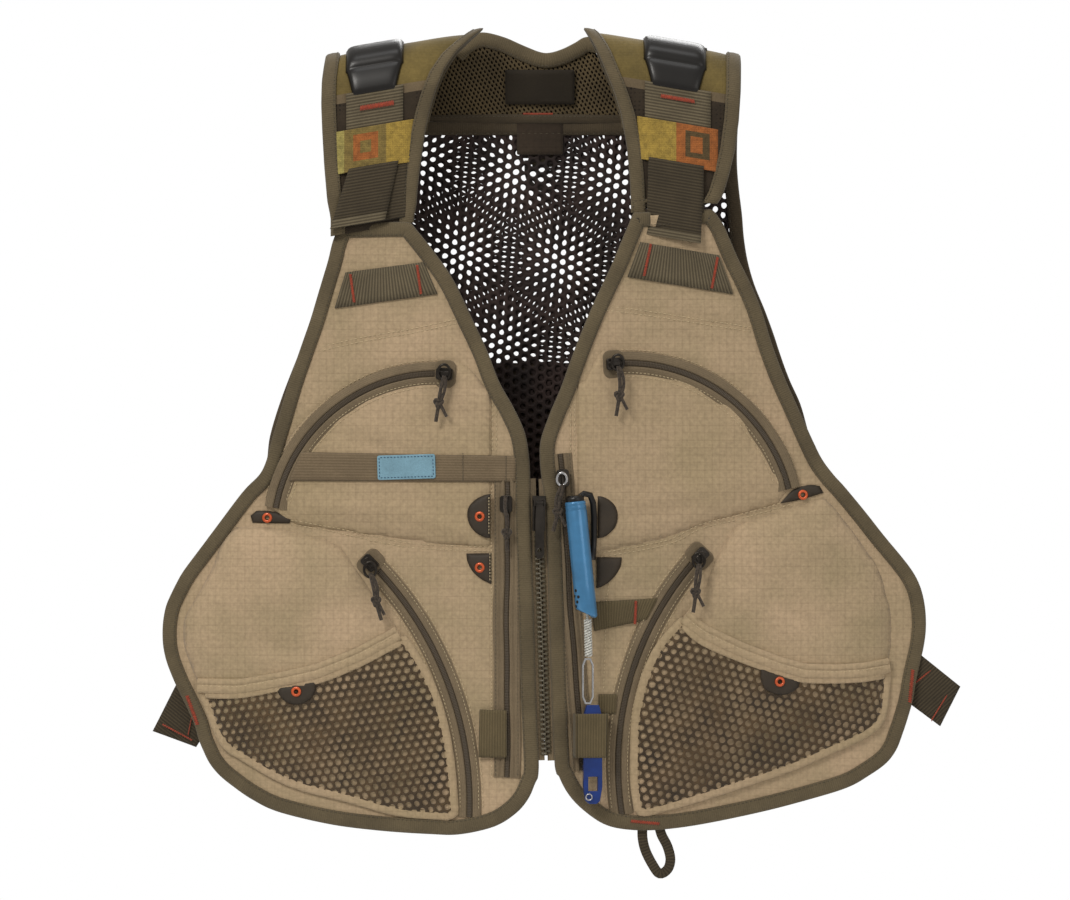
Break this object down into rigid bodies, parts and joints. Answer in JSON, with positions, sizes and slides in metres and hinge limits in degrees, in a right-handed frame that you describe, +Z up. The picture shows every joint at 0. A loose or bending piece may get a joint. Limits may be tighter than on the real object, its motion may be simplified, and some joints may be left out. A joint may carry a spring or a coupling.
{
  "type": "fishing vest",
  "caption": "Zip-front fishing vest with padded mesh shoulders, zipped and net pockets, tool tabs with eyelets, and a corded nipper on a retractor.",
  "frame": {"origin": "underside of the hanger loop's apex, on the outside of the back of the neck", "axes": "worn upright: +Z up, -Y out of the front, +X to the viewer's right (the wearer's left)"},
  "size_m": [0.5691, 0.117, 0.5962],
  "materials": {
    "dark_mesh": "open knitted mesh",
    "tan_fabric": "matt ripstop",
    "binding": "woven tape",
    "label": "woven patch",
    "webbing": "ribbed webbing",
    "pad_fabric": "padded fabric",
    "jacquard": "jacquard webbing",
    "pocket_net": "knitted net",
    "zip_tape": "woven zip tape",
    "elastic": "woven elastic",
    "tab_fabric": "coated fabric",
    "brass": "lacquered orange",
    "zip_teeth": "moulded teeth",
    "anodised_blue": "anodised",
    "gunmetal": "dark plated",
    "black_plastic": "moulded",
    "braid": "braided line",
    "steel_wire": "bright wire",
    "nipper_steel": "coated",
    "pull_cord": "braided cord"
  },
  "bodies": {
    "back": {"back_mesh_panel": "dark_mesh", "back_cargo_pocket": "tan_fabric", "collar_mesh": "dark_mesh", "edge_bindings": "binding", "back_binding": "binding", "neck_label": "label", "hanger_loop": "webbing", "d_ring_tab": "webbing", "shoulder_pads": "pad_fabric", "shoulder_bands": "jacquard", "shoulder_webbings": "webbing", "side_straps": "webbing"},
    "left_front": {"front_panel_left": "tan_fabric", "front_binding_left": "binding", "chest_webbing_left": "webbing", "upper_pocket_left": "tan_fabric", "upper_zip_tape_left": "zip_tape", "lower_pocket_left": "tan_fabric", "mesh_pocket_left": "pocket_net", "lower_zip_tape_left": "zip_tape", "centre_zip_tape_left": "zip_tape", "elastic_bands_left": "elastic", "label_patch_left": "label", "tool_tabs_left": "tab_fabric", "eyelets_left": "brass", "main_zip_left": "zip_teeth"},
    "right_front": {"front_panel_right": "tan_fabric", "front_binding_right": "binding", "chest_webbing_right": "webbing", "upper_pocket_right": "tan_fabric", "upper_zip_tape_right": "zip_tape", "lower_pocket_right": "tan_fabric", "mesh_pocket_right": "pocket_net", "lower_zip_tape_right": "zip_tape", "centre_zip_tape_right": "zip_tape", "elastic_bands_right": "elastic", "tool_tabs_right": "tab_fabric", "eyelets_right": "brass", "main_zip_right": "zip_teeth", "hem_loop": "webbing", "retractor_barrel": "anodised_blue"},
    "main_slider": {"main_slider": "gunmetal"},
    "main_pull_tab": {"main_pull_tab": "gunmetal"},
    "d_ring": {"d_ring": "black_plastic"},
    "shoulder_buckle_left": {"shoulder_buckle_left": "black_plastic"},
    "shoulder_buckle_right": {"shoulder_buckle_right": "black_plastic"},
    "nipper_set": {"retractor_line": "braid", "line_clip": "steel_wire", "nipper": "nipper_steel"},
    "upper_slider_left": {"upper_slider_left": "gunmetal"},
    "lower_slider_left": {"lower_slider_left": "gunmetal"},
    "upper_slider_right": {"upper_slider_right": "gunmetal"},
    "lower_slider_right": {"lower_slider_right": "gunmetal"},
    "centre_slider_left": {"centre_slider_left": "gunmetal"},
    "centre_slider_right": {"centre_slider_right": "gunmetal"},
    "upper_pull_left": {"upper_pull_left": "pull_cord"},
    "lower_pull_left": {"lower_pull_left": "pull_cord"},
    "upper_pull_right": {"upper_pull_right": "pull_cord"},
    "lower_pull_right": {"lower_pull_right": "pull_cord"},
    "centre_pull_right": {"centre_pull_right": "pull_cord"}
  },
  "joints": [
    {"name": "left_front_open", "type": "hinge", "parent": "back", "child": "left_front", "pos_m": [-0.271, -0.04666, -0.406], "axis": [0.4082, -0.072, 0.91], "range_deg": [-65, 0]},
    {"name": "right_front_open", "type": "hinge", "parent": "back", "child": "right_front", "pos_m": [0.2695, -0.04604, -0.404], "axis": [-0.4555, -0.0803, 0.8866], "range_deg": [0, 65]},
    {"name": "main_zip_slide", "type": "slide", "parent": "right_front", "child": "main_slider", "axis": [0.032, 0.0056, -0.9995], "range_m": [0, 0.148]},
    {"name": "main_pull_swing", "type": "hinge", "parent": "main_slider", "child": "main_pull_tab", "pos_m": [-0.00385, -0.09932, -0.317], "axis": [-0.9848, -0.1736, 0], "range_deg": [0, 150]},
    {"name": "upper_zip_slide_left", "type": "hinge", "parent": "left_front", "child": "upper_slider_left", "pos_m": [-0.07699, -0.08909, -0.34305], "axis": [-0.1736, -0.9848, 0], "range_deg": [0, 75.13]},
    {"name": "upper_zip_slide_right", "type": "hinge", "parent": "right_front", "child": "upper_slider_right", "pos_m": [0.05887, -0.0914, -0.33793], "axis": [0.1736, -0.9848, 0], "range_deg": [-73.06, 0]},
    {"name": "lower_zip_slide_left", "type": "hinge", "parent": "left_front", "child": "lower_slider_left", "pos_m": [-0.28508, -0.04834, -0.52716], "axis": [-0.1736, -0.9848, 0], "range_deg": [-45.18, 0]},
    {"name": "lower_zip_slide_right", "type": "hinge", "parent": "right_front", "child": "lower_slider_right", "pos_m": [0.26166, -0.05158, -0.50049], "axis": [0.1736, -0.9848, 0], "range_deg": [0, 49.7]},
    {"name": "centre_zip_slide_left", "type": "slide", "parent": "left_front", "child": "centre_slider_left", "axis": [0, 0, -1], "range_m": [0, 0.132]},
    {"name": "centre_zip_slide_right", "type": "slide", "parent": "right_front", "child": "centre_slider_right", "axis": [0.0703, 0.0124, -0.9974], "range_m": [0, 0.008]},
    {"name": "upper_pull_swing_left", "type": "hinge", "parent": "upper_slider_left", "child": "upper_pull_left", "pos_m": [-0.07056, -0.09693, -0.2262], "axis": [-0.9848, 0.1736, 0], "range_deg": [0, 80]},
    {"name": "lower_pull_swing_left", "type": "hinge", "parent": "lower_slider_left", "child": "lower_pull_left", "pos_m": [-0.12245, -0.08585, -0.3643], "axis": [-0.9848, 0.1736, 0], "range_deg": [0, 80]},
    {"name": "upper_pull_swing_right", "type": "hinge", "parent": "upper_slider_right", "child": "upper_pull_right", "pos_m": [0.05083, -0.09952, -0.2194], "axis": [-0.9848, -0.1736, 0], "range_deg": [0, 80]},
    {"name": "lower_pull_swing_right", "type": "hinge", "parent": "lower_slider_right", "child": "lower_pull_right", "pos_m": [0.10766, -0.08757, -0.3578], "axis": [-0.9848, -0.1736, 0], "range_deg": [0, 80]},
    {"name": "centre_pull_swing_right", "type": "hinge", "parent": "centre_slider_right", "child": "centre_pull_right", "pos_m": [0.01275, -0.10218, -0.30216], "axis": [-0.9848, -0.1736, 0], "range_deg": [0, 80]},
    {"name": "shoulder_buckle_tilt_left", "type": "hinge", "parent": "back", "child": "shoulder_buckle_left", "pos_m": [-0.12515, -0.07048, -0.00387], "axis": [-0.986, 0, -0.1668], "range_deg": [0, 12]},
    {"name": "shoulder_buckle_tilt_right", "type": "hinge", "parent": "back", "child": "shoulder_buckle_right", "pos_m": [0.09635, -0.07048, -0.00154], "axis": [-0.986, 0, 0.1668], "range_deg": [0, 12]},
    {"name": "d_ring_swing", "type": "hinge", "parent": "back", "child": "d_ring", "pos_m": [0, -0.001, -0.076], "axis": [1, 0, 0], "range_deg": [0, 110]},
    {"name": "retractor_pull", "type": "slide", "parent": "right_front", "child": "nipper_set", "axis": [0.102, 0.018, -0.9946], "range_m": [0, 0.024], "stiffness_N_per_m": 12, "springref_m": -0.06}
  ]
}
